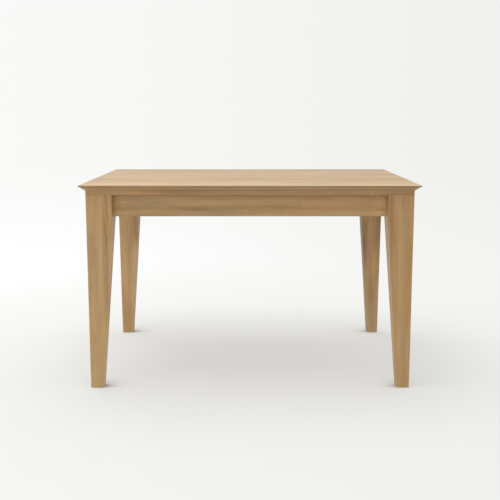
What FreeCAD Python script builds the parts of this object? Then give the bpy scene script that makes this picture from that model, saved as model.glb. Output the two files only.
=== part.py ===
import FreeCAD, Part
import math
import os
import Sketcher
import PartDesign
from FreeCAD import Placement, Rotation, Vector

# Parsons dining table in light oak, millimetres.
# Frame: origin on the floor under the middle of the top, +X along the length of the top,
# -Y the front, +Z up.  Every size below sits in the sheet and drives the bodies.

doc = FreeCAD.newDocument("parsons_dining_table")
sheet = doc.addObject("Spreadsheet::Sheet", "Dims")

SIZES = [
    ("top_length", 1220), ("top_depth", 900), ("table_height", 750),
    ("top_thick", 19), ("edge_blunt", 1.8), ("bevel_inset", 22.5), ("board_count", 7),
    ("tongue_thick", 6), ("tongue_length", 8),
    ("rim_thick", 16), ("rim_width", 105),
    ("spline_length", 80), ("spline_width", 24), ("spline_thick", 4),
    ("leg_square", 93), ("leg_foot", 47), ("leg_flat", 14), ("flat_start", 6),
    ("apron_height", 82), ("apron_thick", 22), ("apron_recess", 48),
    ("groove_drop", 9), ("groove_height", 3), ("groove_depth", 9),
    ("bracket_gauge", 2.5), ("bracket_height", 60), ("bracket_reach", 132),
    ("bracket_wing", 42), ("bracket_flange", 8), ("kerf_play", 0.5),
    ("bolt_radius", 4), ("bolt_bite", 48), ("bolt_pitch", 30), ("bolt_spare", 4),
    ("bolt_hole_radius", 4.5), ("washer_radius", 9), ("washer_thick", 1.6),
    ("washer_bore_radius", 4.2), ("nut_flats", 13), ("nut_height", 6.5),
    ("screw_radius", 2), ("screw_clear_radius", 2.25), ("screw_head_radius", 4),
    ("screw_head_height", 2.6), ("screw_length", 28), ("wing_screw_length", 17),
    ("screw_bite", 12),
    ("clip_gauge", 2), ("clip_width", 18), ("clip_tongue", 7.5), ("clip_rise_at", 3),
    ("clip_reach", 26), ("clip_hole_at", 15), ("clip_inner_x", 120), ("clip_outer_x", 310),
    ("clip_end_y", 128.5), ("rim_screw_inset", 88), ("rim_screw_inner_x", 215),
    ("rim_screw_outer_x", 430), ("rim_screw_end_y", 240), ("slot_travel", 4),
    ("bearer_thick", 22), ("bearer_depth", 55), ("tenon_thick", 14), ("tenon_length", 8),
    ("tenon_low", 8), ("tenon_height", 32), ("bearer_screw_y", 257), ("bearer_bore_radius", 5.5),
    ("glide_radius", 12), ("glide_proud", 2), ("glide_sunk", 4), ("glide_stem_radius", 3.5),
    ("glide_stem_length", 20), ("glide_ease", 1),
    ("leg_ease", 2), ("foot_ease", 1.5), ("apron_ease", 1), ("rim_ease", 1), ("top_ease", 0.6),
]


class Q:
    """A size worked out from the sheet: its number and the formula that binds it."""

    def __init__(self, value, text):
        self.v = float(value)
        self.t = text

    def __add__(self, o):
        o = as_q(o)
        return Q(self.v + o.v, "(%s + %s)" % (self.t, o.t))

    def __radd__(self, o):
        return as_q(o) + self

    def __sub__(self, o):
        o = as_q(o)
        return Q(self.v - o.v, "(%s - %s)" % (self.t, o.t))

    def __rsub__(self, o):
        return as_q(o) - self

    def __mul__(self, o):
        o = as_q(o)
        return Q(self.v * o.v, "(%s * %s)" % (self.t, o.t))

    def __rmul__(self, o):
        return as_q(o) * self

    def __truediv__(self, o):
        o = as_q(o)
        return Q(self.v / o.v, "(%s / %s)" % (self.t, o.t))

    def __neg__(self):
        return Q(-self.v, "(0 - %s)" % self.t)


def as_q(x):
    if isinstance(x, Q):
        return x
    return Q(x, "%.9g" % x if x >= 0 else "(0 - %.9g)" % -x)


D = {}
for row, (name, value) in enumerate(SIZES, start=1):
    sheet.set("A%d" % row, name)
    sheet.set("B%d" % row, "%g" % value)
    sheet.setAlias("B%d" % row, name)
    D[name] = Q(value, "Dims." + name)
doc.recompute()

ROOT2 = Q(math.sqrt(2), "sqrt(2)")
ZERO = as_q(0)


# ---------------------------------------------------------------- helpers
def origin_plane(body, role):
    for feature in body.Origin.OriginFeatures:
        if feature.Role == role:
            return feature


def bind(obj, prop, size):
    size = as_q(size)
    setattr(obj, prop, size.v)
    obj.setExpression(prop, size.t)


def place(obj, x, y, z, rotation=None):
    x, y, z = as_q(x), as_q(y), as_q(z)
    obj.Placement = Placement(Vector(x.v, y.v, z.v), rotation or Rotation())
    for axis, size in zip("xyz", (x, y, z)):
        obj.setExpression("Placement.Base." + axis, size.t)


def outline(body, role, name, loops, lift=None):
    """Closed straight-sided loops on one of the body's own planes, every corner dimensioned."""
    sk = body.newObject("Sketcher::SketchObject", name)
    sk.AttachmentSupport = [(origin_plane(body, role), "")]
    sk.MapMode = "FlatFace"
    if lift is not None:
        sk.AttachmentOffset = Placement(Vector(0, 0, lift.v), Rotation())
        sk.setExpression("AttachmentOffset.Base.z", lift.t)
    bound = []
    first = 0
    for loop in loops:
        pts = [(as_q(a), as_q(b)) for a, b in loop]
        n = len(pts)
        for i in range(n):
            a, b = pts[i], pts[(i + 1) % n]
            sk.addGeometry(Part.LineSegment(Vector(a[0].v, a[1].v, 0),
                                            Vector(b[0].v, b[1].v, 0)), False)
        for i in range(n):
            sk.addConstraint(Sketcher.Constraint("Coincident", first + i, 2,
                                                 first + (i + 1) % n, 1))
        for i, (a, b) in enumerate(pts):
            for axis, line, size in (("X", -2, a), ("Y", -1, b)):
                if abs(size.v) < 1e-9:
                    sk.addConstraint(Sketcher.Constraint("PointOnObject", first + i, 1, line))
                    continue
                label = "%s%d" % (axis.lower(), first + i)
                k = sk.addConstraint(Sketcher.Constraint("Distance" + axis, -1, 1,
                                                         first + i, 1, size.v))
                sk.renameConstraint(k, label)
                bound.append((label, size.t))
        first += n
    for label, text in bound:
        sk.setExpression("Constraints." + label, text)
    return sk


def rounded_square(body, name, lo, hi, radius, lift):
    """A square from (lo, lo) to (hi, hi) with rounded corners, lifted above the body's base."""
    sk = body.newObject("Sketcher::SketchObject", name)
    sk.AttachmentSupport = [(origin_plane(body, "XY_Plane"), "")]
    sk.MapMode = "FlatFace"
    sk.AttachmentOffset = Placement(Vector(0, 0, lift.v), Rotation())
    sk.setExpression("AttachmentOffset.Base.z", lift.t)
    a, b = lo + radius, hi - radius
    # each straight side from its start to its end, then the arc that turns the corner after it
    sides = [((a, lo), (b, lo), (b, a), 270), ((hi, a), (hi, b), (b, b), 0),
             ((b, hi), (a, hi), (a, b), 90), ((lo, b), (lo, a), (a, a), 180)]
    for start, end, centre, first in sides:
        sk.addGeometry(Part.LineSegment(Vector(start[0].v, start[1].v, 0),
                                        Vector(end[0].v, end[1].v, 0)), False)
        circle = Part.Circle(Vector(centre[0].v, centre[1].v, 0), Vector(0, 0, 1), radius.v)
        sk.addGeometry(Part.ArcOfCircle(circle, math.radians(first),
                                        math.radians(first + 90)), False)
    bound = []
    for i, (start, end, centre, first) in enumerate(sides):
        sk.addConstraint(Sketcher.Constraint("Coincident", 2 * i, 2, 2 * i + 1, 1))
        sk.addConstraint(Sketcher.Constraint("Coincident", 2 * i + 1, 2, (2 * i + 2) % 8, 1))
        for point, (px, py) in ((1, start), (2, end)):
            for axis, line, size in (("X", -2, px), ("Y", -1, py)):
                if abs(size.v) < 1e-9:
                    sk.addConstraint(Sketcher.Constraint("PointOnObject", 2 * i, point, line))
                    continue
                label = "%s%d_%d" % (axis.lower(), i, point)
                k = sk.addConstraint(Sketcher.Constraint("Distance" + axis, -1, 1, 2 * i, point,
                                                         size.v))
                sk.renameConstraint(k, label)
                bound.append((label, size.t))
        k = sk.addConstraint(Sketcher.Constraint("Radius", 2 * i + 1, radius.v))
        sk.renameConstraint(k, "r%d" % i)
        bound.append(("r%d" % i, radius.t))
    for label, text in bound:
        sk.setExpression("Constraints." + label, text)
    return sk


def new_body(label):
    body = doc.addObject("PartDesign::Body", label)
    body.Label = label
    return body


def pad(body, sk, name, length, symmetric=False):
    f = body.newObject("PartDesign::Pad", name)
    f.Profile = sk
    bind(f, "Length", length)
    f.SideType = "Symmetric" if symmetric else "One side"
    doc.recompute()
    return f


def cut_through(body, sk, name):
    f = body.newObject("PartDesign::Pocket", name)
    f.Profile = sk
    f.Type = "ThroughAll"
    f.SideType = "Symmetric"
    doc.recompute()
    return f


def revolve(body, sk, name):
    f = body.newObject("PartDesign::Revolution", name)
    f.Profile = sk
    f.ReferenceAxis = (sk, ["V_Axis"])
    f.Angle = 360
    doc.recompute()
    return f


def bore(body, name, radius, depth, x, y, z, direction):
    f = body.newObject("PartDesign::SubtractiveCylinder", name)
    bind(f, "Radius", radius)
    bind(f, "Height", depth)
    place(f, x, y, z, Rotation(Vector(0, 0, 1), Vector(*direction)))
    return f


def recess(body, name, lx, ly, lz, x, y, z, turn=0):
    f = body.newObject("PartDesign::SubtractiveBox", name)
    bind(f, "Length", lx)
    bind(f, "Width", ly)
    bind(f, "Height", lz)
    place(f, x, y, z, Rotation(Vector(0, 0, 1), turn))
    return f


def edges_where(feature, test):
    """Names of the straight edges whose middle and direction pass the test."""
    names = []
    for i, edge in enumerate(feature.Shape.Edges):
        if edge.Curve.TypeId != "Part::GeomLine":
            continue
        a, b = edge.Vertexes[0].Point, edge.Vertexes[-1].Point
        if test((a + b) * 0.5, b - a):
            names.append("Edge%d" % (i + 1))
    return names


def ease(body, kind, name, feature, size, test):
    names = edges_where(feature, test)
    if not names:
        raise RuntimeError(name + ": no edge to ease")
    f = body.newObject("PartDesign::" + kind, name)
    f.Base = (feature, names)
    bind(f, "Radius" if kind == "Fillet" else "Size", size)
    doc.recompute()
    return f


def near(a, b):
    return abs(a - b) < 1e-4


def group(label, proto, spots):
    """Identical pieces: links to one master, each at its own place, held in one compound."""
    links = []
    for i, (x, y, z, rotation) in enumerate(spots):
        link = doc.addObject("App::Link", "%s_%d" % (label, i + 1))
        link.LinkedObject = proto
        place(link, x, y, z, rotation)
        links.append(link)
    comp = doc.addObject("Part::Compound", label)
    comp.Label = label
    comp.Links = links
    return comp


nodes = []

# ---------------------------------------------------------------- levels and half sizes
half_x = D["top_length"] / 2
half_y = D["top_depth"] / 2
z_top = D["table_height"]
z_rim_top = z_top - D["top_thick"]            # underside of the boards
z_leg_top = z_rim_top - D["rim_thick"]        # underside of the rim, top of legs and aprons
z_apron = z_leg_top - D["apron_height"]       # lower edge of the aprons
frame_x = half_x - D["bevel_inset"]           # outer faces of the legs
frame_y = half_y - D["bevel_inset"]
apron_in = D["apron_recess"] + D["apron_thick"]   # leg face to the apron's inner face
z_bolt_low = z_apron + D["apron_height"] / 2 - D["bolt_pitch"] / 2
bolt_heights = [z_bolt_low, z_bolt_low + D["bolt_pitch"]]

# The four corners.  Each is a frame at the outer corner of a leg with u and v running in
# along the two aprons, turned a quarter at a time.
CORNERS = [("front_left", 0), ("front_right", 90), ("back_right", 180), ("back_left", 270)]


def corner_point(turn, u, v):
    u, v = as_q(u), as_q(v)
    if turn == 0:
        return u - frame_x, v - frame_y
    if turn == 90:
        return frame_x - v, u - frame_y
    if turn == 180:
        return frame_x - u, frame_y - v
    return v - frame_x, frame_y - u


# The four sides.  Each is a frame on the outer face line, centred, x along the side and
# y running in towards the middle of the table.
SIDES = [("front", 0, frame_x, frame_y), ("right", 90, frame_y, frame_x),
         ("back", 180, frame_x, frame_y), ("left", 270, frame_y, frame_x)]


def side_point(turn, along, inward):
    along, inward = as_q(along), as_q(inward)
    if turn == 0:
        return along, inward - frame_y
    if turn == 90:
        return frame_x - inward, along
    if turn == 180:
        return -along, frame_y - inward
    return inward - frame_x, -along


def about_z(turn):
    return Rotation(Vector(0, 0, 1), turn)


# Screw places on each side, as (distance along, distance in from the face).
long_clips = [-D["clip_outer_x"], -D["clip_inner_x"], D["clip_inner_x"], D["clip_outer_x"]]
short_clips = [-D["clip_end_y"], D["clip_end_y"]]
long_screws = [-D["rim_screw_outer_x"], -D["rim_screw_inner_x"],
               D["rim_screw_inner_x"], D["rim_screw_outer_x"]]
short_screws = [-D["rim_screw_end_y"], ZERO, D["rim_screw_end_y"]]
clip_in = apron_in + D["clip_hole_at"]

clip_spots, screw_spots = [], []
for side, turn, _, _ in SIDES:
    is_long = turn in (0, 180)
    for a in (long_clips if is_long else short_clips):
        clip_spots.append((turn, a))
    for a in (long_screws if is_long else short_screws):
        screw_spots.append((turn, a))

top_holes = [side_point(t, a, clip_in) for t, a in clip_spots]
top_holes += [side_point(t, a, D["rim_screw_inset"]) for t, a in screw_spots]
bearer_ys = [-D["bearer_screw_y"], ZERO, D["bearer_screw_y"]]
top_holes += [(ZERO, y) for y in bearer_ys]

# ---------------------------------------------------------------- top boards
# Seven boards with a tongue on the front edge and a groove in the back edge.  The outer two
# carry the long under-bevels, and every board carries the bevel at both ends.
board_width = D["top_depth"] / D["board_count"]
tongue_low = z_rim_top + (D["top_thick"] - D["tongue_thick"]) / 2
tongue_high = tongue_low + D["tongue_thick"]
bevel_high = z_top - D["edge_blunt"]
count = int(round(D["board_count"].v))
for i in range(count):
    label = "top_board_%d" % (i + 1)
    body = new_body(label)
    y0 = board_width * i - half_y
    y1 = board_width * (i + 1) - half_y
    pts = [(y0, z_top), (y1, z_top)]
    if i < count - 1:
        deep = y1 - D["tongue_length"]
        pts += [(y1, tongue_high), (deep, tongue_high), (deep, tongue_low), (y1, tongue_low),
                (y1, z_rim_top)]
    else:
        pts += [(y1, bevel_high), (y1 - D["bevel_inset"], z_rim_top)]
    if i > 0:
        tip = y0 - D["tongue_length"]
        pts += [(y0, z_rim_top), (y0, tongue_low), (tip, tongue_low), (tip, tongue_high),
                (y0, tongue_high)]
    else:
        pts += [(y0 + D["bevel_inset"], z_rim_top), (y0, bevel_high)]
    pad(body, outline(body, "YZ_Plane", label + "_section", [pts]), label + "_length",
        D["top_length"], symmetric=True)
    ends = []
    for side in (1, -1):
        ends.append([(half_x * side, bevel_high), (frame_x * side, z_rim_top),
                     (half_x * side, z_rim_top)])
    last = cut_through(body, outline(body, "XZ_Plane", label + "_end_bevels", ends),
                       label + "_ends")
    # the thin outer edge is eased all round
    rim_faces = [("x", half_x.v), ("x", -half_x.v)]
    if i == 0:
        rim_faces.append(("y", y0.v))
    if i == count - 1:
        rim_faces.append(("y", y1.v))

    def on_edge(mid, way):
        touching = [f for f in rim_faces if near(getattr(mid, f[0]), f[1])]
        if not touching or mid.z < bevel_high.v - 1e-4:
            return False
        if near(way.z, 0):
            return near(mid.z, z_top.v) or near(mid.z, bevel_high.v)
        return len(touching) == 2

    ease(body, "Fillet", label + "_eased", last, D["top_ease"], on_edge)
    for k, (x, y) in enumerate(top_holes):
        if y0.v < y.v < y1.v:
            bore(body, "%s_pilot_%d" % (label, k), D["screw_radius"], D["screw_bite"],
                 x, y, z_rim_top, (0, 0, 1))
    nodes.append(body)

# ---------------------------------------------------------------- rim
# Four flat lengths mitred at the corners, each mitre slotted for a loose spline.  The end
# lengths have slotted outer screw holes, so that the boards can swell and shrink.
half_spline = D["spline_length"] / 2
half_width = D["spline_width"] / 2
mitre_mid = D["rim_width"] / 2
slot_low = (D["rim_thick"] - D["spline_thick"]) / 2
for side, turn, half, _ in SIDES:
    label = "rim_" + side
    body = new_body(label)
    inner = half - D["rim_width"]
    sk = outline(body, "XY_Plane", label + "_plan",
                 [[(-half, ZERO), (half, ZERO), (inner, D["rim_width"]),
                   (-inner, D["rim_width"])]])
    last = pad(body, sk, label + "_thickness", D["rim_thick"])
    ease(body, "Fillet", label + "_eased", last, D["rim_ease"],
         lambda mid, way: near(way.y, 0) and (near(mid.z, 0) or near(mid.y, 0)))
    recess(body, label + "_spline_slot_1", D["spline_length"], D["spline_width"],
           D["spline_thick"], mitre_mid - half - (half_spline - half_width) / ROOT2,
           mitre_mid - (half_spline + half_width) / ROOT2, slot_low, 45)
    recess(body, label + "_spline_slot_2", D["spline_length"], D["spline_width"],
           D["spline_thick"], half - mitre_mid + (half_spline + half_width) / ROOT2,
           mitre_mid - (half_spline - half_width) / ROOT2, slot_low, 135)
    is_long = turn in (0, 180)
    for k, a in enumerate(long_clips if is_long else short_clips):
        bore(body, "%s_clip_hole_%d" % (label, k), D["screw_radius"], D["rim_thick"],
             a, clip_in, ZERO, (0, 0, 1))
    for k, a in enumerate(long_screws if is_long else short_screws):
        bore(body, "%s_screw_hole_%d" % (label, k), D["screw_clear_radius"], D["rim_thick"],
             a, D["rim_screw_inset"], ZERO, (0, 0, 1))
        if not is_long and abs(a.v) > 1:
            for end, way in (("in", -1), ("out", 1)):
                bore(body, "%s_slot_%d_%s" % (label, k, end), D["screw_clear_radius"],
                     D["rim_thick"], a + D["slot_travel"] * way, D["rim_screw_inset"], ZERO,
                     (0, 0, 1))
            recess(body, "%s_slot_%d" % (label, k), D["slot_travel"] * 2,
                   D["screw_clear_radius"] * 2, D["rim_thick"], a - D["slot_travel"],
                   D["rim_screw_inset"] - D["screw_clear_radius"], ZERO)
    x, y = side_point(turn, ZERO, ZERO)
    place(body, x, y, z_leg_top, about_z(turn))
    nodes.append(body)

spline = doc.addObject("Part::Box", "spline_master")
bind(spline, "Length", D["spline_length"])
bind(spline, "Width", D["spline_width"])
bind(spline, "Height", D["spline_thick"])
spots = []
for name, turn in CORNERS:
    x, y = corner_point(turn, mitre_mid - (half_spline - half_width) / ROOT2,
                        mitre_mid - (half_spline + half_width) / ROOT2)
    spots.append((x, y, z_leg_top + slot_low, about_z(turn + 45)))
nodes.append(group("mitre_splines", spline, spots))

# ---------------------------------------------------------------- legs
# Square where the aprons meet them, then tapered on the two inner faces to the floor.  The
# inner corner is planed flat at the top, where the hanger bolts go in on the diagonal.
leg_low = D["glide_proud"]
leg_length = z_leg_top - leg_low
taper_at = z_apron - leg_low
flat_at = (D["leg_square"] * 2 - D["leg_flat"]) / 2       # u and v of the flat's middle
foot_mid = D["leg_foot"] / 2
for name, turn in CORNERS:
    label = "leg_" + name
    body = new_body(label)
    w, foot = D["leg_square"], D["leg_foot"]
    slope = (w - foot) / taper_at
    toe = D["foot_ease"]
    levels = [(toe, foot - toe, ZERO), (ZERO, foot + slope * toe, toe), (ZERO, w, taper_at),
              (ZERO, w, leg_length)]
    sections = [rounded_square(body, "%s_section_%d" % (label, k), lo, hi, D["leg_ease"], z)
                for k, (lo, hi, z) in enumerate(levels)]
    loft = body.newObject("PartDesign::AdditiveLoft", label + "_shaped")
    loft.Profile = sections[0]
    loft.Sections = sections[1:]
    loft.Ruled = True
    doc.recompute()
    recess(body, label + "_corner_flat", w, w, D["apron_height"],
           flat_at + w / ROOT2 / 2, flat_at - w / ROOT2 / 2, taper_at + D["flat_start"], 45)
    for k, z in enumerate(bolt_heights):
        bore(body, "%s_bolt_hole_%d" % (label, k), D["bolt_radius"], D["bolt_bite"],
             flat_at, flat_at, z - leg_low, (-1, -1, 0))
    bore(body, label + "_glide_seat", D["glide_radius"], D["glide_sunk"],
         foot_mid, foot_mid, ZERO, (0, 0, 1))
    bore(body, label + "_glide_stem", D["glide_stem_radius"],
         D["glide_sunk"] + D["glide_stem_length"], foot_mid, foot_mid, ZERO, (0, 0, 1))
    x, y = corner_point(turn, ZERO, ZERO)
    place(body, x, y, leg_low, about_z(turn))
    nodes.append(body)

# ---------------------------------------------------------------- aprons
# Butted between the legs.  A groove along the inner face takes the clips, and a saw kerf near
# each end takes the bracket's flange.  The long aprons are mortised for the bearer.
bracket_line = apron_in + D["bracket_reach"]              # u + v on the plate's leg side
kerf_far = D["bracket_reach"] + D["bracket_wing"]         # u of the flange's far face
wing_screw_at = D["bracket_reach"] + D["bracket_wing"] / 2
groove_high = D["apron_height"] - D["groove_drop"]
groove_low = groove_high - D["groove_height"]
z_bearer = z_leg_top - D["bearer_depth"]
for side, turn, half, _ in SIDES:
    label = "apron_" + side
    body = new_body(label)
    thick, tall = D["apron_thick"], D["apron_height"]
    bottom = thick - D["groove_depth"]
    sk = outline(body, "YZ_Plane", label + "_section",
                 [[(ZERO, ZERO), (thick, ZERO), (thick, groove_low), (bottom, groove_low),
                   (bottom, groove_high), (thick, groove_high), (thick, tall), (ZERO, tall)]])
    last = pad(body, sk, label + "_length", (half - D["leg_square"]) * 2, symmetric=True)
    ease(body, "Fillet", label + "_eased", last, D["apron_ease"],
         lambda mid, way: near(mid.z, 0) and near(way.y, 0))
    kerf = D["bracket_gauge"] + D["kerf_play"]
    wall = half - kerf_far + D["bracket_gauge"]           # kerf wall the flange pulls against
    for k, x in enumerate((-wall, wall - kerf)):
        recess(body, "%s_kerf_%d" % (label, k), kerf, D["groove_depth"], tall, x, bottom, ZERO)
    for k, z in enumerate(bolt_heights):
        for m, x in enumerate((wing_screw_at - half, half - wing_screw_at)):
            bore(body, "%s_pilot_%d_%d" % (label, k, m), D["screw_radius"],
                 D["wing_screw_length"] - D["bracket_gauge"], x, thick, z - z_apron, (0, -1, 0))
    if turn in (0, 180):
        recess(body, label + "_mortise", D["tenon_thick"], D["tenon_length"], D["tenon_height"],
               -D["tenon_thick"] / 2, thick - D["tenon_length"],
               z_bearer + D["tenon_low"] - z_apron)
    x, y = side_point(turn, ZERO, D["apron_recess"])
    place(body, x, y, z_apron, about_z(turn))
    nodes.append(body)

# ---------------------------------------------------------------- cross bearer
# Stands on edge under the middle of the top, notched under the rim, with stub tenons.
body = new_body("cross_bearer")
face = frame_y - apron_in
notch = frame_y - D["rim_width"]
sk = outline(body, "YZ_Plane", "cross_bearer_side",
             [[(-face, z_bearer), (face, z_bearer), (face, z_leg_top), (notch, z_leg_top),
               (notch, z_rim_top), (-notch, z_rim_top), (-notch, z_leg_top),
               (-face, z_leg_top)]])
pad(body, sk, "cross_bearer_thickness", D["bearer_thick"], symmetric=True)
tenon_low = z_bearer + D["tenon_low"]
tenon_high = tenon_low + D["tenon_height"]
tip = face + D["tenon_length"]
sk = outline(body, "YZ_Plane", "cross_bearer_tenon_sides",
             [[(face, tenon_low), (tip, tenon_low), (tip, tenon_high), (face, tenon_high)],
              [(-tip, tenon_low), (-face, tenon_low), (-face, tenon_high), (-tip, tenon_high)]])
pad(body, sk, "cross_bearer_tenons", D["tenon_thick"], symmetric=True)
for k, y in enumerate(bearer_ys):
    bore(body, "cross_bearer_counterbore_%d" % k, D["bearer_bore_radius"], D["bearer_depth"],
         ZERO, y, z_bearer, (0, 0, 1))
    bore(body, "cross_bearer_hole_%d" % k, D["screw_radius"],
         D["bearer_depth"] + D["rim_thick"], ZERO, y, z_bearer, (0, 0, 1))
nodes.append(body)

# ---------------------------------------------------------------- corner brackets
# Folded steel plate: a diagonal web, two wings flat on the aprons and two flanges in the kerfs.
plate_out = bracket_line + D["bracket_gauge"] * ROOT2
z_bracket = z_apron + (D["apron_height"] - D["bracket_height"]) / 2
for name, turn in CORNERS:
    label = "corner_bracket_" + name
    body = new_body(label)
    c, g, deep = apron_in, D["bracket_gauge"], apron_in - D["bracket_flange"]
    bend_out = plate_out - c - g
    half_one = [(kerf_far, deep), (kerf_far, c + g), (bend_out, c + g)]
    half_two = [(bracket_line - c, c), (kerf_far - g, c), (kerf_far - g, deep)]
    pts = half_one + [(v, u) for u, v in reversed(half_one)]
    pts += [(v, u) for u, v in reversed(half_two)] + half_two
    sk = outline(body, "XY_Plane", label + "_fold", [pts])
    pad(body, sk, label + "_height", D["bracket_height"])
    for k, z in enumerate(bolt_heights):
        bore(body, "%s_bolt_hole_%d" % (label, k), D["bolt_hole_radius"], g * 2,
             plate_out / 2 + g / ROOT2 / 2, plate_out / 2 + g / ROOT2 / 2, z - z_bracket,
             (-1, -1, 0))
        bore(body, "%s_wing_hole_%d_u" % (label, k), D["screw_clear_radius"], g,
             wing_screw_at, c, z - z_bracket, (0, 1, 0))
        bore(body, "%s_wing_hole_%d_v" % (label, k), D["screw_clear_radius"], g,
             c, wing_screw_at, z - z_bracket, (1, 0, 0))
    x, y = corner_point(turn, ZERO, ZERO)
    place(body, x, y, z_bracket, about_z(turn))
    nodes.append(body)

# ---------------------------------------------------------------- hanger bolts, washers, nuts
# The bolt's axis runs along the diagonal, from inside the leg out through the bracket.
bolt_start = flat_at - D["bolt_bite"] / ROOT2             # u and v of the buried end
plate_face = plate_out / 2                                # u and v of the plate's outer face
reach = (plate_face - bolt_start) * ROOT2
bolt_length = reach + D["washer_thick"] + D["nut_height"] + D["bolt_spare"]

bolt = new_body("hanger_bolt_master")
rb = D["bolt_radius"]
sk = outline(bolt, "XZ_Plane", "hanger_bolt_half",
             [[(ZERO, ZERO), (rb / 4, ZERO), (rb, rb * 2), (rb, bolt_length - rb / 4),
               (rb * 3 / 4, bolt_length), (ZERO, bolt_length)]])
revolve(bolt, sk, "hanger_bolt_turned")

washer = new_body("bolt_washer_master")
sk = outline(washer, "XZ_Plane", "bolt_washer_half",
             [[(D["washer_bore_radius"], ZERO), (D["washer_radius"], ZERO),
               (D["washer_radius"], D["washer_thick"]),
               (D["washer_bore_radius"], D["washer_thick"])]])
revolve(washer, sk, "bolt_washer_turned")

nut = new_body("bolt_nut_master")
af = D["nut_flats"] / 2
tan30 = Q(math.tan(math.radians(30)), "(1 / sqrt(3))")
sk = outline(nut, "XY_Plane", "bolt_nut_hexagon",
             [[(af, -af * tan30), (af, af * tan30), (ZERO, af * tan30 * 2),
               (-af, af * tan30), (-af, -af * tan30), (ZERO, -af * tan30 * 2)]])
pad(nut, sk, "bolt_nut_height", D["nut_height"])
bore(nut, "bolt_nut_thread", D["bolt_radius"], D["nut_height"], ZERO, ZERO, ZERO, (0, 0, 1))

bolt_spots, washer_spots, nut_spots = [], [], []
for name, turn in CORNERS:
    a = math.radians(turn + 45)
    along = Rotation(Vector(0, 0, 1), Vector(math.cos(a), math.sin(a), 0))
    for z in bolt_heights:
        x, y = corner_point(turn, bolt_start, bolt_start)
        bolt_spots.append((x, y, z, along))
        x, y = corner_point(turn, plate_face, plate_face)
        washer_spots.append((x, y, z, along))
        seat = plate_face + D["washer_thick"] / ROOT2
        x, y = corner_point(turn, seat, seat)
        nut_spots.append((x, y, z, along))
nodes.append(group("hanger_bolts", bolt, bolt_spots))
nodes.append(group("bolt_washers", washer, washer_spots))
nodes.append(group("bolt_nuts", nut, nut_spots))


# ---------------------------------------------------------------- screws
# Pan-head wood screws: head below the seat plane, shank above it, pointed tip.
def screw_master(label, length):
    body = new_body(label)
    r, hr, hh = D["screw_radius"], D["screw_head_radius"], D["screw_head_height"]
    sk = outline(body, "XZ_Plane", label + "_half",
                 [[(ZERO, -hh), (hr * 5 / 8, -hh), (hr * 15 / 16, -hh * 5 / 8), (hr, ZERO),
                   (r, ZERO), (r, length - r * 2), (ZERO, length)]])
    revolve(body, sk, label + "_turned")
    # cross recess in the head
    w = hr / 4
    recess(body, label + "_recess_1", hr, w, hh / 2, -hr / 2, -w / 2, -hh)
    recess(body, label + "_recess_2", w, hr, hh / 2, -w / 2, -hr / 2, -hh)
    return body


long_screw = screw_master("long_screw_master", D["screw_length"])
wing_screw = screw_master("wing_screw_master", D["wing_screw_length"])
up = Rotation()

spots = []
for name, turn in CORNERS:
    for z in bolt_heights:
        wing_face = apron_in + D["bracket_gauge"]
        x, y = corner_point(turn, wing_screw_at, wing_face)
        a = math.radians(turn - 90)
        spots.append((x, y, z, Rotation(Vector(0, 0, 1), Vector(math.cos(a), math.sin(a), 0))))
        x, y = corner_point(turn, wing_face, wing_screw_at)
        a = math.radians(turn + 180)
        spots.append((x, y, z, Rotation(Vector(0, 0, 1), Vector(math.cos(a), math.sin(a), 0))))
nodes.append(group("bracket_screws", wing_screw, spots))

spots = []
for turn, a in screw_spots:
    x, y = side_point(turn, a, D["rim_screw_inset"])
    spots.append((x, y, z_leg_top, up))
nodes.append(group("rim_screws", long_screw, spots))

spots = []
for turn, a in clip_spots:
    x, y = side_point(turn, a, clip_in)
    spots.append((x, y, z_leg_top - D["clip_gauge"], up))
nodes.append(group("clip_screws", long_screw, spots))

spots = [(ZERO, y, z_leg_top, up) for y in bearer_ys]
nodes.append(group("bearer_screws", long_screw, spots))

# ---------------------------------------------------------------- clips
# Z-shaped strip: the tongue pulls up on the roof of the apron's groove, the foot is screwed
# to the underside of the rim.
clip = new_body("top_clip_master")
g, rise = D["clip_gauge"], D["clip_rise_at"]
roof = -D["groove_drop"]
sk = outline(clip, "YZ_Plane", "top_clip_side",
             [[(-D["clip_tongue"], roof - g), (rise + g, roof - g), (rise + g, -g),
               (D["clip_reach"], -g), (D["clip_reach"], ZERO), (rise, ZERO), (rise, roof),
               (-D["clip_tongue"], roof)]])
pad(clip, sk, "top_clip_width", D["clip_width"], symmetric=True)
bore(clip, "top_clip_hole", D["screw_clear_radius"], g, ZERO, D["clip_hole_at"], -g, (0, 0, 1))
spots = []
for turn, a in clip_spots:
    x, y = side_point(turn, a, apron_in)
    spots.append((x, y, z_leg_top, about_z(turn)))
nodes.append(group("top_clips", clip, spots))

# ---------------------------------------------------------------- glides
# Moulded disc let into the end of the leg, eased at the floor, with a push-in stem.
for name, turn in CORNERS:
    label = "foot_glide_" + name
    body = new_body(label)
    r, e, s = D["glide_radius"], D["glide_ease"], D["glide_stem_radius"]
    high = D["glide_proud"] + D["glide_sunk"]
    sk = outline(body, "XZ_Plane", label + "_half",
                 [[(ZERO, ZERO), (r - e, ZERO), (r, e), (r, high), (s, high),
                   (s, high + D["glide_stem_length"] - s / 2),
                   (s / 2, high + D["glide_stem_length"]),
                   (ZERO, high + D["glide_stem_length"])]])
    revolve(body, sk, label + "_turned")
    x, y = corner_point(turn, foot_mid, foot_mid)
    place(body, x, y, ZERO, about_z(turn))
    nodes.append(body)

# ---------------------------------------------------------------- checks and files
doc.recompute()
bad = []
for obj in doc.Objects:
    if "Invalid" in obj.State or "Error" in obj.State:
        bad.append("%s: %s" % (obj.Name, obj.State))
for obj in nodes:
    shape = obj.Shape
    if shape.isNull() or not shape.isValid() or not shape.Solids:
        bad.append("%s: shape not usable" % obj.Label)
if bad:
    raise RuntimeError("; ".join(bad))

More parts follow.
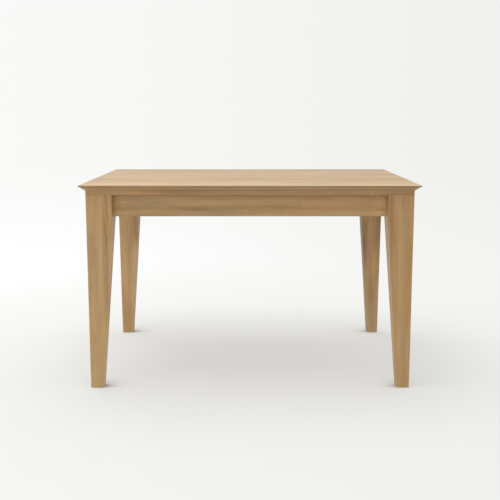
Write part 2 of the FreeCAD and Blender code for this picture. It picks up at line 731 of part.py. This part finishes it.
os.makedirs("parts", exist_ok=True)
for obj in nodes:
    obj.Shape.exportStep("parts/%s.step" % obj.Label)
    box = obj.Shape.BoundBox
    print("%-28s solids %2d  volume %12.1f  x %8.2f %8.2f  y %8.2f %8.2f  z %7.2f %7.2f" % (
        obj.Label, len(obj.Shape.Solids), obj.Shape.Volume, box.XMin, box.XMax, box.YMin,
        box.YMax, box.ZMin, box.ZMax))
print("nodes", len(nodes))
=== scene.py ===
import math

import bpy
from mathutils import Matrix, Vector


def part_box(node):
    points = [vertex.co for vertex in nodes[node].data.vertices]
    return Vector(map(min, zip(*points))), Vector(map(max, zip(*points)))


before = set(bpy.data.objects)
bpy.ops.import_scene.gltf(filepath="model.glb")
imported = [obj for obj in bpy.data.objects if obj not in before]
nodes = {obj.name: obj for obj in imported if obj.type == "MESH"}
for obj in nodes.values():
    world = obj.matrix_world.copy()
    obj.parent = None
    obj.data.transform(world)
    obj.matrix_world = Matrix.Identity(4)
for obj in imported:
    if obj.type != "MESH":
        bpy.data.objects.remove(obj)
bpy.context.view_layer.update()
scene = bpy.context.scene


# ------------------------------------------------------------------ node helper
class Graph:
    """A short hand for building a node tree."""

    def __init__(self, tree):
        self.tree = tree
        self.tree.nodes.clear()

    def node(self, kind, **props):
        n = self.tree.nodes.new(kind)
        for k, v in props.items():
            setattr(n, k, v)
        return n

    def put(self, socket, value):
        if isinstance(value, bpy.types.NodeSocket):
            self.tree.links.new(value, socket)
        else:
            socket.default_value = value

    def math(self, op, a, b=None, c=None, clamp=False):
        n = self.node("ShaderNodeMath", operation=op, use_clamp=clamp)
        for i, v in enumerate((a, b, c)):
            if v is not None:
                self.put(n.inputs[i], v)
        return n.outputs[0]

    def add(self, a, b):
        return self.math("ADD", a, b)

    def sub(self, a, b):
        return self.math("SUBTRACT", a, b)

    def mul(self, a, b):
        return self.math("MULTIPLY", a, b)

    def step(self, v, lo, hi, to_lo=0.0, to_hi=1.0):
        n = self.node("ShaderNodeMapRange", interpolation_type="SMOOTHSTEP")
        self.put(n.inputs[0], v)
        for i, x in enumerate((lo, hi, to_lo, to_hi)):
            self.put(n.inputs[1 + i], x)
        return n.outputs[0]

    def spread(self, v, lo, hi, to_lo, to_hi):
        n = self.node("ShaderNodeMapRange", clamp=True)
        self.put(n.inputs[0], v)
        for i, x in enumerate((lo, hi, to_lo, to_hi)):
            self.put(n.inputs[1 + i], x)
        return n.outputs[0]

    def xyz(self, x, y, z):
        n = self.node("ShaderNodeCombineXYZ")
        for i, v in enumerate((x, y, z)):
            self.put(n.inputs[i], v)
        return n.outputs[0]

    def noise(self, vector, scale=1.0, detail=2.0, rough=0.5, warp=0.0):
        n = self.node("ShaderNodeTexNoise")
        self.put(n.inputs["Vector"], vector)
        self.put(n.inputs["Scale"], scale)
        self.put(n.inputs["Detail"], detail)
        self.put(n.inputs["Roughness"], rough)
        self.put(n.inputs["Distortion"], warp)
        return n.outputs[0]

    def mix(self, fac, a, b, blend="MIX"):
        n = self.node("ShaderNodeMix", data_type="RGBA", blend_type=blend)
        self.put(n.inputs[0], fac)
        self.put(n.inputs[6], a)
        self.put(n.inputs[7], b)
        return n.outputs[2]

    def ramp(self, fac, stops):
        n = self.node("ShaderNodeValToRGB")
        el = n.color_ramp.elements
        while len(el) < len(stops):
            el.new(0.5)
        for e, (pos, col) in zip(el, stops):
            e.position = pos
            e.color = (*col, 1.0)
        self.put(n.inputs[0], fac)
        return n.outputs[0]

    def bump(self, height, distance, strength=1.0, normal=None):
        n = self.node("ShaderNodeBump")
        n.inputs["Strength"].default_value = strength
        n.inputs["Distance"].default_value = distance
        self.put(n.inputs["Height"], height)
        if normal is not None:
            self.put(n.inputs["Normal"], normal)
        return n.outputs[0]


def new_material(name):
    mat = bpy.data.materials.new(name)
    mat.use_nodes = True
    return mat, Graph(mat.node_tree)


def surface(g, colour, rough, normal, metallic=0.0, specular=0.5, coat=0.0, coat_rough=0.3):
    out = g.node("ShaderNodeOutputMaterial")
    p = g.node("ShaderNodeBsdfPrincipled")
    g.put(p.inputs["Base Color"], colour)
    g.put(p.inputs["Roughness"], rough)
    g.put(p.inputs["Normal"], normal)
    p.inputs["Metallic"].default_value = metallic
    p.inputs["Specular IOR Level"].default_value = specular
    p.inputs["Coat Weight"].default_value = coat
    p.inputs["Coat Roughness"].default_value = coat_rough
    g.tree.links.new(p.outputs[0], out.inputs[0])
    return p


def edge_mask(g, radius):
    """1 on arrises, 0 on flats: how far the rounded normal leans from the true one."""
    geo = g.node("ShaderNodeNewGeometry")
    bev = g.node("ShaderNodeBevel", samples=6)
    bev.inputs["Radius"].default_value = radius
    dot = g.node("ShaderNodeVectorMath", operation="DOT_PRODUCT")
    g.tree.links.new(bev.outputs[0], dot.inputs[0])
    g.tree.links.new(geo.outputs["Normal"], dot.inputs[1])
    return g.step(dot.outputs["Value"], 0.995, 0.86, 0.0, 1.0)


# ------------------------------------------------------------------ oak
OAK = [(0.00, (0.215, 0.118, 0.047)), (0.28, (0.335, 0.203, 0.090)),
       (0.50, (0.430, 0.278, 0.132)), (0.72, (0.505, 0.345, 0.175)),
       (1.00, (0.585, 0.425, 0.240))]


def oak(name, node, grain, seed, pith, slope, tint=(1.0, 1.0, 1.0), shift=0.0, seams=(),
        rough=0.46, specular=0.42, figure=0.75, broad=52.0, crisp=2.0, cloudy=0.30, streaky=0.36,
        patchy=0.15, wave=(1.1, 0.075), wear=0.30, under=(0.0, 0.0, 0.0), lean=(0.0, 0.0),
        stripes=(), crevice=(0.010, 0.45), tips=(0.0, 0.0), upright=(), inside=(), darker_span=()):
    """Plain-sawn oak cut from one solid: growth rings about a pith line, pores, fibres, rays.
    grain    the axis the tree grew along
    pith     where its middle lies, across and through the piece, from the piece's own middle
    slope    how that line tilts along the piece
    figure, broad, crisp   how strong, how close and how sharp the growth pattern is
    cloudy, streaky, patchy   the softer markings
    wave     the bends of the grain along the piece
    wear     how much paler the arrises are rubbed
    under    how much darker the faces are painted that don't look up, as painted shade, at which
         tilt that starts and ends, and if given, how it grows along the piece
    lean     painted light and shade: how the tone shifts along and through the piece
    stripes  single darker years: b across or c through the piece, place, half width, strength,
             and if given, where along the piece they start
    crevice  how far and how strongly the inner corners are darkened with painted shade, and if given,
         the places through the piece where that begins and is full, and how far from its middle
         the piece ends in a corner, where less is added
    tips     painted light: how much paler towards both ends, and over what length
    upright  painted shade: how much darker a narrow upright edge is, and if given, the heights
         where the slope below it begins to darken and is full, and how much
    inside   painted light and shade: which way along x a face looks whose tone is scaled, the
         height below which it is scaled, and the scale
    heart    where along the piece it is darkened, where that is full, and how dark it is"""
    mat, g = new_material(name)
    lo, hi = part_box(node)
    mid = (lo + hi) / 2
    tc = g.node("ShaderNodeTexCoord")
    sep = g.node("ShaderNodeSeparateXYZ")
    g.put(sep.inputs[0], tc.outputs["Object"])
    axes = {"x": (0, 1, 2), "y": (1, 0, 2), "z": (2, 0, 1)}[grain]
    a, b, c = (g.sub(sep.outputs[i], mid[i]) for i in axes)
    sa = g.add(a, seed * 3.71)
    sb = g.add(b, seed * 1.93)
    sc = g.add(c, seed * 2.57)

    # the stem isn't straight: long slow bends, and small ripples in each ring
    bend_b = g.sub(g.noise(g.xyz(g.mul(sa, wave[0]), g.mul(sb, 2.0), g.mul(sc, 2.0)), 1.0, 1.5), 0.5)
    bend_c = g.sub(g.noise(g.xyz(g.mul(sa, wave[0] * 1.2), g.mul(sb, 2.0),
                                 g.add(g.mul(sc, 2.0), 9.1)), 1.0, 1.5), 0.5)
    ripple = g.sub(g.noise(g.xyz(g.mul(sa, 7.0), g.mul(sb, 38.0), g.mul(sc, 38.0)), 1.0, 2.0), 0.5)
    bend_b = g.add(g.mul(bend_b, wave[1]), g.mul(ripple, 0.004))
    bend_c = g.add(g.mul(bend_c, wave[1] * 0.8), g.mul(ripple, 0.004))
    rb = g.add(g.sub(b, pith[0]), bend_b)
    rc = g.add(g.add(g.sub(c, pith[1]), g.mul(a, slope)), bend_c)
    radius = g.math("SQRT", g.add(g.mul(rb, rb), g.mul(rc, rc)))
    wb = g.add(sb, bend_b)
    wc = g.add(sc, bend_c)

    # rings of uneven width and strength, each starting with a porous band
    uneven = g.noise(g.xyz(g.mul(radius, 34.0), seed * 1.3, 0.0), 1.0, 1.0)
    strong = g.spread(g.noise(g.xyz(g.mul(radius, 150.0), seed * 2.1, g.mul(sa, 0.7)), 1.0, 1.0),
                      0.35, 0.68, 0.25, 1.0)
    ring = g.math("FRACT", g.add(g.mul(radius, 390.0), g.mul(uneven, 4.5)))
    early = g.mul(g.mul(g.step(ring, 0.0, 0.10), g.step(ring, 0.62, 0.22)), strong)
    late = g.step(ring, 0.55, 0.98)

    # years of strong and weak growth, streaks, patches, fine fibres and soft clouds
    years = g.noise(g.xyz(g.mul(sa, 0.45), g.mul(radius, broad), seed), 1.0, crisp, 0.5)
    streak = g.noise(g.xyz(g.mul(sa, 2.0), g.mul(wb, 46.0), g.mul(wc, 46.0)), 1.0, 3.0, 0.5)
    patch = g.noise(g.xyz(g.mul(sa, 5.0), g.mul(wb, 30.0), g.mul(wc, 30.0)), 1.0, 1.5)
    fibre = g.noise(g.xyz(g.mul(sa, 9.0), g.mul(wb, 820.0), g.mul(wc, 820.0)), 1.0, 2.0, 0.6)
    cloud = g.noise(g.xyz(g.mul(sa, 2.4), g.mul(sb, 13.0), g.mul(sc, 13.0)), 1.0, 2.0)
    value = g.add(0.5 + shift, g.mul(g.sub(years, 0.5), figure))
    value = g.add(value, g.mul(g.sub(streak, 0.5), streaky))
    value = g.add(value, g.mul(g.sub(patch, 0.5), patchy))
    value = g.add(value, g.mul(g.sub(fibre, 0.5), 0.20))
    value = g.add(value, g.mul(g.sub(cloud, 0.5), cloudy))
    # painted light and shade: the tone is raised and lowered along and through the piece where light falls
    # stronger and weaker
    if lean[0]:
        value = g.add(value, g.mul(a, lean[0]))
    if lean[1]:
        value = g.add(value, g.mul(c, lean[1]))
    for axis, at, half, depth, *start in stripes:
        line, bend = {"b": (b, bend_b), "c": (c, bend_c)}[axis]
        off = g.math("ABSOLUTE", g.add(g.sub(line, at), g.mul(bend, 0.5)))
        year = g.step(off, half, 0.0, 0.0, depth)
        if start:
            year = g.mul(year, g.step(a, start[0], start[0] + 0.10))
        value = g.sub(value, year)
    # a stretch of the piece made darker; on the back right leg this is painted shade where the top shades
    # its upper end
    if darker_span:
        value = g.sub(value, g.step(a, darker_span[0], darker_span[1], 0.0, darker_span[2]))
    value = g.sub(value, g.mul(early, 0.12))
    value = g.add(value, g.mul(late, 0.04))
    colour = g.ramp(value, OAK)

    # pores: short dark dashes along the grain, thick in the early wood
    dash = g.noise(g.xyz(g.mul(sa, 105.0), g.mul(sb, 1900.0), g.mul(sc, 1900.0)), 1.0, 1.0, 0.4)
    pores = g.mul(g.step(dash, 0.56, 0.68), g.add(0.22, g.mul(early, 0.78)))
    colour = g.mix(g.mul(pores, 0.62), colour, (0.130, 0.070, 0.028, 1.0))

    # rays: pale flecks across the rings
    ray = g.noise(g.xyz(g.mul(sa, 34.0), g.mul(sb, 260.0), g.mul(sc, 24.0)), 1.0, 1.0)
    rays = g.mul(g.step(ray, 0.66, 0.78), g.sub(1.0, early))
    colour = g.mix(g.mul(rays, 0.22), colour, (0.66, 0.50, 0.30, 1.0))

    # slow drift between pinkish and straw tones; cut ends drink more of the oil
    drift = g.noise(g.xyz(g.mul(sa, 3.2), g.mul(wb, 24.0), g.mul(wc, 24.0)), 1.0, 2.0)
    warm = g.ramp(drift, [(0.32, (1.045, 0.980, 0.94)), (0.68, (0.965, 1.012, 1.04))])
    colour = g.mix(1.0, colour, warm, "MULTIPLY")
    colour = g.mix(1.0, colour, (*tint, 1.0), "MULTIPLY")
    # painted light: the apron is made paler towards its ends, against the shade that the legs and rim cast
    # there
    if tips[0]:
        half = crevice[4]
        near = g.step(g.math("ABSOLUTE", a), half - tips[1], half, 0.0, tips[0])
        painted_end_light = g.mix(1.0, colour, (1.50, 1.48, 1.46, 1.0), "MULTIPLY")
        colour = g.mix(near, colour, painted_end_light)
    face = g.node("ShaderNodeSeparateXYZ")
    g.put(face.inputs[0], g.node("ShaderNodeNewGeometry").outputs["Normal"])
    cut = g.step(g.math("ABSOLUTE", face.outputs[axes[0]]), 0.45, 0.95, 0.0, 0.30)
    colour = g.mix(cut, colour, (0.20, 0.115, 0.050, 1.0))
    # painted shade: faces that don't look up are darkened, as the shade under the top, rims and aprons
    if under[0]:
        painted_underside_shade = g.step(face.outputs[2], under[1], under[2], 0.0, under[0])
        if len(under) == 4:
            painted_underside_shade = g.mul(painted_underside_shade, g.add(1.0, g.mul(a, under[3])))
        colour = g.mix(painted_underside_shade, colour, (0.20, 0.115, 0.050, 1.0))
    # painted light and shade on a leg's inner side: it is made paler on the front legs and darker on the
    # back legs, as light falls there
    if inside:
        looks = g.step(g.mul(face.outputs[0], inside[0]), 0.6, 0.9)
        looks = g.mul(looks, g.step(sep.outputs[2], inside[1], inside[1] - 0.02))
        painted_side_tone = g.mix(1.0, colour, (*inside[2], 1.0), "MULTIPLY")
        colour = g.mix(looks, colour, painted_side_tone)
    # painted shade: a narrow upright edge and the slope just below it are darkened, as the shade along the
    # top's front edge
    if upright:
        band = g.step(g.math("ABSOLUTE", face.outputs[2]), 0.60, 0.25, 0.0, upright[0])
        below = g.mul(g.step(face.outputs[2], 0.0, -0.5),
                      g.step(sep.outputs[2], upright[1], upright[2], 0.0, upright[3]))
        colour = g.mix(g.add(band, below), colour, (0.14, 0.080, 0.035, 1.0))

    # glue lines where this board meets its neighbours
    for y in seams:
        gap = g.math("ABSOLUTE", g.sub(sep.outputs[1], y))
        colour = g.mix(g.mul(g.step(gap, 0.00065, 0.00015), 0.5), colour,
                       (0.16, 0.095, 0.045, 1.0))

    # painted shade in the inner corners: ambient occlusion darkens the colour where the corners' shadow
    # falls
    corner_occlusion = g.node("ShaderNodeAmbientOcclusion", samples=8)
    corner_occlusion.inputs["Distance"].default_value = crevice[0]
    dark = g.step(corner_occlusion.outputs["AO"], 0.92, 0.50, 0.0, crevice[1])
    if len(crevice) == 5:
        dark = g.mul(dark, g.step(c, crevice[2], crevice[3], 0.2, 1.0))
        dark = g.mul(dark, g.step(g.math("ABSOLUTE", a), crevice[4], crevice[4] - 0.024, 0.25, 1.0))
    colour = g.mix(dark, colour, (0.120, 0.066, 0.027, 1.0))

    # arrises are rubbed a little paler and duller
    edge = edge_mask(g, 0.0024)
    scuff = g.noise(g.xyz(g.mul(sa, 55.0), g.mul(sb, 55.0), g.mul(sc, 55.0)), 1.0, 3.0, 0.65)
    worn = g.mul(edge, g.spread(scuff, 0.35, 0.7, 0.15, 0.8))
    colour = g.mix(g.mul(worn, wear), colour, (0.63, 0.47, 0.29, 1.0))

    smear = g.noise(g.xyz(g.mul(sa, 3.0), g.mul(sb, 7.0), g.mul(sc, 7.0)), 1.0, 3.0)
    r = g.add(rough - 0.04, g.mul(smear, 0.10))
    r = g.add(r, g.mul(pores, 0.20))
    r = g.add(r, g.mul(g.sub(fibre, 0.5), 0.08))
    r = g.add(r, g.mul(worn, 0.10))

    relief = g.add(g.mul(pores, -1.0), g.mul(fibre, 0.22))
    relief = g.sub(relief, g.mul(early, 0.18))
    n1 = g.bump(relief, 0.00022, 0.8)
    wave = g.noise(g.xyz(g.mul(sa, 5.0), g.mul(sb, 14.0), g.mul(sc, 14.0)), 1.0, 2.0)
    n2 = g.bump(wave, 0.0016, 0.25, n1)
    surface(g, colour, r, n2, specular=specular)
    return mat


def dress(node, mat):
    o = nodes[node]
    o.data.materials.clear()
    o.data.materials.append(mat)


# top boards, front to back: each its own cut of the log
# the back boards' cooler, greyer tints are partly painted sheen for the grazing reflection across the far
# top; the rest is each board's own tone
BOARDS = [
    # seed, pith across, pith through, slope, tint, shift, figure, cloudy, lean, stripes
    (1.0, 0.020, -0.085, 0.030, (1.05, 1.04, 1.06), 0.07, 0.50, 0.30, 0.17, ()),
    (2.3, -0.150, -0.060, -0.020, (0.98, 0.97, 0.98), 0.01, 0.70, 0.50, 0.05,
     (("b", 0.062, 0.050, 0.11),)),
    (3.1, -0.015, -0.070, -0.035, (0.86, 0.87, 0.90), 0.03, 0.80, 0.55, 0.0,
     (("b", -0.058, 0.050, 0.09),)),
    (4.7, 0.170, -0.040, 0.015, (0.985, 0.98, 0.975), 0.00, 0.80, 0.55, 0.0, ()),
    (5.2, 0.010, -0.100, 0.040, (0.88, 0.90, 0.965), 0.00, 0.80, 0.55, 0.0, ()),
    (6.6, -0.030, -0.060, -0.028, (0.92, 0.915, 1.00), -0.02, 0.80, 0.60, 0.0, ()),
    (7.4, 0.140, -0.055, 0.022, (0.86, 0.90, 1.00), -0.02, 0.70, 0.50, 0.0, ()),
]
width = 0.900 / 7
for i, (seed, pb, pc, slope, tint, shift, figure, cloudy, lean, stripes) in enumerate(BOARDS):
    y0, y1 = -0.45 + i * width, -0.45 + (i + 1) * width
    seams = [y for y in (y0, y1) if abs(abs(y) - 0.45) > 1e-6]
    name = "top_board_%d" % (i + 1)
    dress(name, oak("oak_" + name, name, "x", seed, (pb, pc), slope, tint, shift, seams,
                    rough=0.44, specular=0.46, figure=figure, cloudy=cloudy, wear=0.06,
                    under=(0.35, 0.70, 0.10, 0.9), lean=(lean, 0.0), stripes=stripes,
                    upright=(0.60, 0.7375, 0.7440, 0.17)))

for k, (side, grain, pith, slope) in enumerate((
        ("front", "x", (0.02, -0.060), 0.030), ("back", "x", (-0.03, -0.055), -0.024),
        ("left", "y", (0.03, -0.070), 0.030), ("right", "y", (-0.02, -0.065), -0.030))):
    dress("rim_" + side, oak("oak_rim_" + side, "rim_" + side, grain, 11.0 + 1.7 * k, pith, slope,
                             (1.0, 0.98, 0.95), -0.08, specular=0.3,
                             under=(0.25, -0.25, -0.75), lean=(0.05, 0.0), crevice=(0.010, 0.28),
                             # the front rim is made darker over its right end
                             darker_span=(0.36, 0.54, 0.20) if side == "front" else ()))
    name = "apron_" + side
    # the face of an apron is upright, so the pith lies behind it
    across = {"x": ((0.060, 0.115), (-0.060, -0.120)), "y": ((0.06, 0.11), (-0.06, -0.12))}[grain]
    dress(name, oak("oak_" + name, name, grain, 21.0 + 2.3 * k, across[k % 2], 0.018,
                    (1.0, 0.97, 0.93), 0.01, figure=0.46, broad=44.0, crisp=1.6, cloudy=0.30,
                    streaky=0.56, patchy=0.34, wave=(2.6, 0.045), specular=0.3, wear=0.14,
                    under=(0.25, -0.25, -0.75), lean=(0.06, 0.7), stripes=(("c", -0.013, 0.013, 0.10),),
                    crevice=(0.018, 0.62, 0.012, 0.030, {"x": 0.4945, "y": 0.3345}[grain]),
                    tips=(0.62, 0.075)))

# corner, pith, slope, shift, figure, patchy, cloudy, streaky, tint, stripes, inside, darker span
LEGS = [
    ("front_left", (0.050, 0.085), 0.008, 0.07, 0.45, 0.50, 0.50, 0.60, (1.0, 0.97, 0.93),
     (("b", 0.022, 0.017, 0.14),), (1.0, 0.645, (1.18, 1.16, 1.10)), ()),
    ("front_right", (-0.045, 0.090), -0.009, -0.055, 0.26, 0.32, 0.30, 0.45, (1.0, 0.965, 0.92),
     (), (-1.0, 0.760, (1.20, 1.20, 1.15)), ()),
    ("back_left", (-0.060, 0.080), 0.008, 0.215, 0.45, 0.50, 0.50, 0.55, (1.0, 0.93, 0.88),
     (("b", 0.028, 0.034, 0.32, 0.00),), (1.0, 0.760, (0.90, 0.88, 0.84)), ()),
    # the back right leg is darkened at its upper end as painted shade under the top
    ("back_right", (0.055, 0.075), -0.008, 0.045, 0.40, 0.50, 0.50, 0.55, (0.99, 0.97, 0.98),
     (), (-1.0, 0.760, (0.74, 0.73, 0.72)), (-0.10, 0.11, 0.22)),
]
for k, (corner, pith, slope, shift, figure, patchy, cloudy, streaky, tint, stripes, inside,
        darker_span) in enumerate(LEGS):
    name = "leg_" + corner
    dress(name, oak("oak_" + name, name, "z", 31.0 + 3.1 * k, pith, slope, tint,
                    shift, figure=figure, broad=26.0, crisp=1.2, cloudy=cloudy, streaky=streaky,
                    patchy=patchy, wave=(1.6, 0.014), specular=0.3, wear=0.22,
                    lean=(-0.26, 0.0), stripes=stripes, crevice=(0.006, 0.10), inside=inside,
                    darker_span=darker_span))


# ------------------------------------------------------------------ beech, for the hidden wood
def beech(name, node, grain, seed):
    mat, g = new_material(name)
    lo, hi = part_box(node)
    mid = (lo + hi) / 2
    tc = g.node("ShaderNodeTexCoord")
    sep = g.node("ShaderNodeSeparateXYZ")
    g.put(sep.inputs[0], tc.outputs["Object"])
    axes = {"x": (0, 1, 2), "y": (1, 0, 2), "z": (2, 0, 1)}[grain]
    a, b, c = (g.add(g.sub(sep.outputs[i], mid[i]), seed * (1.7 + i)) for i in axes)
    years = g.noise(g.xyz(g.mul(a, 0.6), g.mul(b, 60.0), g.mul(c, 60.0)), 1.0, 3.0, 0.6)
    fibre = g.noise(g.xyz(g.mul(a, 12.0), g.mul(b, 900.0), g.mul(c, 900.0)), 1.0, 2.0)
    value = g.add(g.mul(years, 0.75), g.mul(fibre, 0.25))
    colour = g.ramp(value, [(0.28, (0.44, 0.29, 0.17)), (0.50, (0.56, 0.39, 0.24)),
                            (0.74, (0.65, 0.48, 0.32))])
    fleck = g.noise(g.xyz(g.mul(a, 260.0), g.mul(b, 1500.0), g.mul(c, 1500.0)), 1.0, 1.0)
    flecks = g.step(fleck, 0.60, 0.70)
    colour = g.mix(g.mul(flecks, 0.45), colour, (0.30, 0.17, 0.085, 1.0))
    edge = edge_mask(g, 0.002)
    colour = g.mix(g.mul(edge, 0.2), colour, (0.70, 0.54, 0.38, 1.0))
    r = g.add(0.58, g.mul(fibre, 0.14))
    n = g.bump(g.add(fibre, g.mul(flecks, -0.6)), 0.00018, 0.7)
    surface(g, colour, r, n, specular=0.3)
    return mat


dress("cross_bearer", beech("beech_bearer", "cross_bearer", "y", 2.0))
dress("mitre_splines", beech("beech_spline", "mitre_splines", "x", 5.0))


# ------------------------------------------------------------------ zinc-plated steel
def zinc(name, seed, grain_scale, tone):
    mat, g = new_material(name)
    tc = g.node("ShaderNodeTexCoord")
    sep = g.node("ShaderNodeSeparateXYZ")
    g.put(sep.inputs[0], tc.outputs["Object"])
    x, y, z = (g.add(sep.outputs[i], seed * (1.3 + i)) for i in range(3))
    p = g.xyz(x, y, z)
    spangle = g.noise(p, grain_scale, 3.0, 0.6)
    stain = g.noise(p, 22.0, 3.0, 0.6)
    drawn = g.noise(g.xyz(g.mul(x, 240.0), g.mul(y, 240.0), g.mul(z, 2600.0)), 1.0, 2.0)
    value = g.add(g.mul(spangle, 0.5), g.mul(stain, 0.5))
    colour = g.ramp(value, [(0.30, tuple(0.62 * t for t in tone)), (0.52, tone),
                            (0.75, tuple(min(1.0, 1.16 * t) for t in tone))])
    tint = g.ramp(stain, [(0.35, (1.03, 1.0, 0.90)), (0.65, (0.97, 1.0, 1.05))])
    colour = g.mix(1.0, colour, tint, "MULTIPLY")
    edge = edge_mask(g, 0.0008)
    colour = g.mix(g.mul(edge, 0.4), colour, (0.82, 0.81, 0.78, 1.0))
    r = g.add(0.26, g.mul(spangle, 0.22))
    r = g.add(r, g.mul(drawn, 0.08))
    n = g.bump(g.add(g.mul(drawn, 0.6), spangle), 0.00008, 0.6)
    surface(g, colour, r, n, metallic=1.0)
    return mat


plate = zinc("zinc_plate", 1.0, 420.0, (0.60, 0.59, 0.56))
hard = zinc("zinc_hardware", 4.0, 900.0, (0.56, 0.55, 0.52))
for corner in ("front_left", "front_right", "back_left", "back_right"):
    dress("corner_bracket_" + corner, plate)
for n in ("hanger_bolts", "bolt_washers", "bolt_nuts", "bracket_screws", "rim_screws",
          "clip_screws", "bearer_screws", "top_clips"):
    dress(n, hard)


# ------------------------------------------------------------------ nylon
def nylon(name):
    mat, g = new_material(name)
    tc = g.node("ShaderNodeTexCoord")
    p = tc.outputs["Object"]
    grain = g.noise(p, 1900.0, 2.0)
    rub = g.noise(p, 140.0, 3.0, 0.65)
    colour = g.ramp(g.add(g.mul(rub, 0.7), g.mul(grain, 0.3)),
                    [(0.3, (0.055, 0.038, 0.026)), (0.55, (0.085, 0.060, 0.042)),
                     (0.75, (0.13, 0.097, 0.072))])
    edge = edge_mask(g, 0.0015)
    colour = g.mix(g.mul(edge, 0.35), colour, (0.20, 0.16, 0.125, 1.0))
    r = g.add(0.42, g.mul(rub, 0.25))
    surface(g, colour, r, g.bump(g.add(grain, rub), 0.0001, 0.6), specular=0.4)
    return mat


glide = nylon("nylon_glide")
for corner in ("front_left", "front_right", "back_left", "back_right"):
    dress("foot_glide_" + corner, glide)


# ------------------------------------------------------------------ stage
def make_floor():
    mesh = bpy.data.meshes.new("floor")
    count, radius = 96, 14.0
    verts = [(0.0, 0.0, 0.0)]
    verts += [(radius * math.cos(2 * math.pi * i / count), radius * math.sin(2 * math.pi * i / count), 0.0)
              for i in range(count)]
    mesh.from_pydata(verts, [], [(0, 1 + i, 1 + (i + 1) % count) for i in range(count)])
    o = bpy.data.objects.new("floor", mesh)
    scene.collection.objects.link(o)
    mat, g = new_material("floor_sweep")
    tc = g.node("ShaderNodeTexCoord")
    ln = g.node("ShaderNodeVectorMath", operation="LENGTH")
    g.put(ln.inputs[0], tc.outputs["Object"])
    fade = g.step(ln.outputs["Value"], 0.8, 2.4)
    near = g.node("ShaderNodeAmbientOcclusion", samples=12)
    near.inputs["Distance"].default_value = 0.14
    spot = g.node("ShaderNodeSeparateXYZ")
    g.put(spot.inputs[0], tc.outputs["Object"])
    # painted contact shadow: ambient occlusion darkens the floor's glow beside and behind the feet, as if
    # the light came from the front
    inner = g.step(g.math("ABSOLUTE", spot.outputs[0]), 0.60, 0.535)
    behind = g.mul(g.step(spot.outputs[1], -0.440, -0.405),
                   g.sub(1.0, g.mul(g.step(spot.outputs[1], 0.10, 0.22),
                                    g.step(spot.outputs[1], 0.400, 0.372))))
    inner = g.mul(g.mul(inner, behind), g.step(spot.outputs[0], -0.2, 0.2, 1.0, 0.62))
    shade = g.sub(1.0, g.mul(inner, g.step(near.outputs["AO"], 0.96, 0.55, 0.0, 0.75)))
    back = g.node("ShaderNodeNewGeometry").outputs["Backfacing"]
    mottle = g.noise(tc.outputs["Object"], 3.0, 4.0)
    tone = g.ramp(mottle, [(0.3, (0.372, 0.372, 0.361)), (0.7, (0.382, 0.382, 0.371))])
    diffuse = g.node("ShaderNodeBsdfDiffuse")
    g.put(diffuse.inputs[0], tone)
    # painted light: the floor glows, standing in for light it bounces, and glows more towards the back
    glow = g.node("ShaderNodeEmission")
    glow.inputs[0].default_value = (1.0, 1.0, 0.975, 1.0)
    glow_rise = g.spread(spot.outputs[1], -1.6, 1.6, 0.405, 0.470)
    g.put(glow.inputs[1], g.mul(shade, glow_rise))
    both = g.node("ShaderNodeAddShader")
    g.tree.links.new(diffuse.outputs[0], both.inputs[0])
    g.tree.links.new(glow.outputs[0], both.inputs[1])
    clear = g.node("ShaderNodeBsdfTransparent")
    mixer = g.node("ShaderNodeMixShader")
    g.put(mixer.inputs[0], g.math("MAXIMUM", fade, back))
    g.tree.links.new(both.outputs[0], mixer.inputs[1])
    g.tree.links.new(clear.outputs[0], mixer.inputs[2])
    out = g.node("ShaderNodeOutputMaterial")
    g.tree.links.new(mixer.outputs[0], out.inputs[0])
    mesh.materials.append(mat)
    return o


make_floor()

# ------------------------------------------------------------------ light
world = bpy.data.worlds.new("studio")
scene.world = world
world.use_nodes = True
g = Graph(world.node_tree)
tc = g.node("ShaderNodeTexCoord")
sep = g.node("ShaderNodeSeparateXYZ")
g.put(sep.inputs[0], tc.outputs["Generated"])
side = g.step(sep.outputs[0], -0.32, 0.32)
sky = g.mix(side, (0.950, 0.955, 0.940, 1.0), (0.875, 0.878, 0.860, 1.0))
low = g.mix(side, (1.010, 1.014, 1.008, 1.0), (0.905, 0.910, 0.893, 1.0))
sky = g.mix(g.step(sep.outputs[2], -0.05, -0.19), sky, low)
bg = g.node("ShaderNodeBackground")
g.put(bg.inputs[0], sky)
bg.inputs[1].default_value = 1.0
out = g.node("ShaderNodeOutputWorld")
g.tree.links.new(bg.outputs[0], out.inputs[0])


def softbox(name, size, power, place, target):
    data = bpy.data.lights.new(name, "AREA")
    data.shape = "RECTANGLE"
    data.size, data.size_y = size
    data.energy = power
    o = bpy.data.objects.new(name, data)
    o.location = place
    o.rotation_euler = (Vector(target) - Vector(place)).to_track_quat("-Z", "Y").to_euler()
    o.visible_camera = False
    scene.collection.objects.link(o)
    return o


softbox("overhead", (2.8, 2.2), 50.0, (-0.55, 0.0, 3.1), (0.0, 0.0, 0.4))
softbox("front_fill", (3.6, 0.9), 8.4, (-1.7, -4.4, 0.75), (0.0, 0.0, 0.6))

# ------------------------------------------------------------------ camera
cam_data = bpy.data.cameras.new("camera")
cam_data.sensor_width = 36.0
cam_data.lens = 61.83
cam = bpy.data.objects.new("camera", cam_data)
cam.location = (0.0, -3.4823, 1.0058)
cam.rotation_euler = (math.radians(90.0 - 9.096), 0.0, 0.0)
scene.collection.objects.link(cam)
scene.camera = cam

scene.view_settings.view_transform = "Standard"
scene.view_settings.look = "None"
